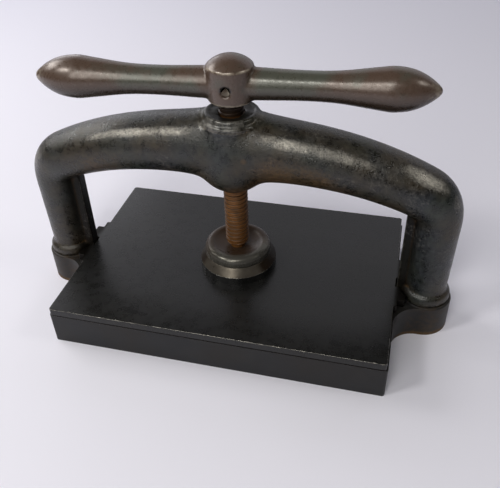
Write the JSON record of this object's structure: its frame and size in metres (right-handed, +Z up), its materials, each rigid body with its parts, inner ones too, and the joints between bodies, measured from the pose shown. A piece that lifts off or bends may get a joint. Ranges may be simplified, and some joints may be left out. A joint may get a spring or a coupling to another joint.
{
  "type": "book press",
  "caption": "Small cast-iron screw press for books: flat bed, arched frame on two legs, and a guided platen lifted by a hand-turned screw with a double-ended bar handle.",
  "frame": {"origin": "on the ground, under the axis of the screw", "axes": "+Z up along the screw, +X to the right along the handle and the long side of the bed, +Y to the back"},
  "size_m": [0.3398, 0.1746, 0.2076],
  "materials": {
    "black_iron": "old black japan over sand-cast iron, worn to grey on the edges, rust in the corners",
    "platen_iron": "old black japan over a planed casting, matt, with worn bright edges",
    "collar_iron": "turned iron, darkened with oil, satin",
    "bare_iron": "turned bare iron with a thin brown tarnish",
    "handle_iron": "hand-polished brown patina, satin",
    "rusty_steel": "cut screw thread, brown with old rust and oil",
    "dark_steel": "plain steel, dulled and spotted"
  },
  "bodies": {
    "frame": {"bed": "black_iron", "arch": "black_iron", "left_leg_stud": "dark_steel", "right_leg_stud": "dark_steel", "left_leg_washer": "dark_steel", "right_leg_washer": "dark_steel", "left_leg_nut": "dark_steel", "right_leg_nut": "dark_steel"},
    "platen": {"platen": "platen_iron", "collar_flange": "bare_iron", "collar_cap": "collar_iron", "thrust_disc": "dark_steel", "front_keeper": "dark_steel", "rear_keeper": "dark_steel", "front_left_flange_screw": "dark_steel", "front_right_flange_screw": "dark_steel", "rear_left_flange_screw": "dark_steel", "rear_right_flange_screw": "dark_steel"},
    "spindle": {"screw": "rusty_steel", "handle": "handle_iron", "cross_pin": "dark_steel"}
  },
  "joints": [
    {"name": "platen_lift", "type": "slide", "parent": "frame", "child": "platen", "axis": [0, 0, 1], "range_m": [0, 0.045]},
    {"name": "screw_turn", "type": "hinge", "parent": "platen", "child": "spindle", "pos_m": [0, 0, 0], "axis": [0, 0, 1], "range_deg": [0, 4320]}
  ],
  "couplings": [
    {"joint": "platen_lift", "follows": "screw_turn", "m_per_rad": 0.00059683}
  ]
}
